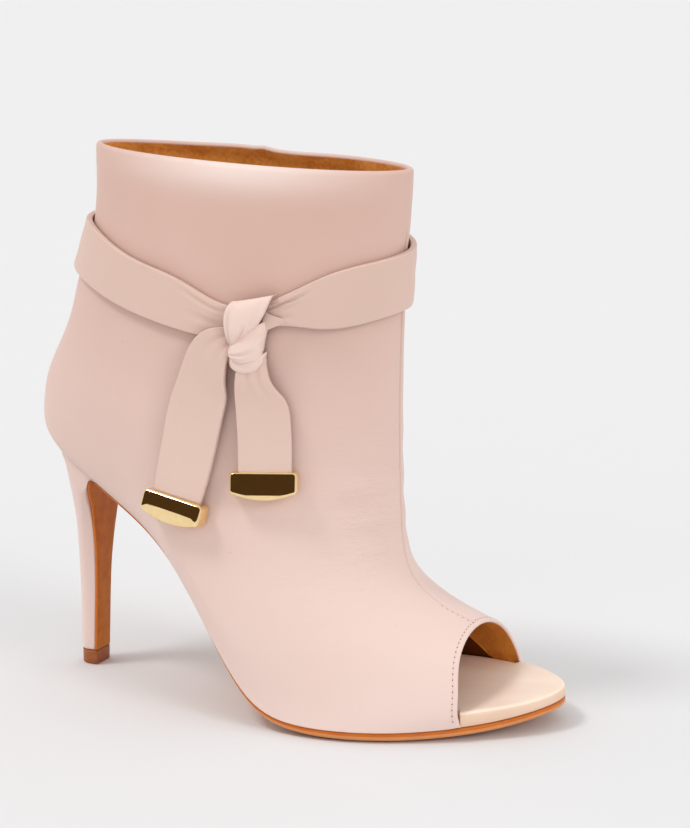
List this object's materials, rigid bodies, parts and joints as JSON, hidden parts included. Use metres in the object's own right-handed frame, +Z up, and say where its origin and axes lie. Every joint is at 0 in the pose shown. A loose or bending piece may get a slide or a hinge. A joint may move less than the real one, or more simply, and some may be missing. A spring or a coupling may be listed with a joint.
{
  "type": "peep toe ankle boot",
  "caption": "Right ankle boot in soft leather with a peep toe, a slim high heel and an ankle strap knotted on the outer side, its tails ending in metal tips.",
  "frame": {"origin": "middle of the heel tip's foot, on the floor", "axes": "+X from heel to toe, +Y to the inner side of the foot, +Z up"},
  "size_m": [0.2035, 0.0816, 0.1991],
  "materials": {
    "upper_leather": "soft matte nude pink leather",
    "strap_leather": "soft matte nude pink leather, folded",
    "insole_leather": "smooth beige leather",
    "outsole_leather": "smooth tan sole leather",
    "heel_cover": "smooth nude pink covering",
    "heel_tip_rubber": "brown, satin",
    "tip_metal": "polished pale gold"
  },
  "bodies": {
    "root": {"upper": "upper_leather", "insole": "insole_leather", "outsole": "outsole_leather", "heel": "heel_cover", "heel_tip": "heel_tip_rubber", "strap_band": "strap_leather", "strap_knot": "strap_leather", "strap_tail_rear": "strap_leather", "strap_tail_front": "strap_leather", "strap_tip_rear": "tip_metal", "strap_tip_front": "tip_metal"}
  },
  "joints": []
}
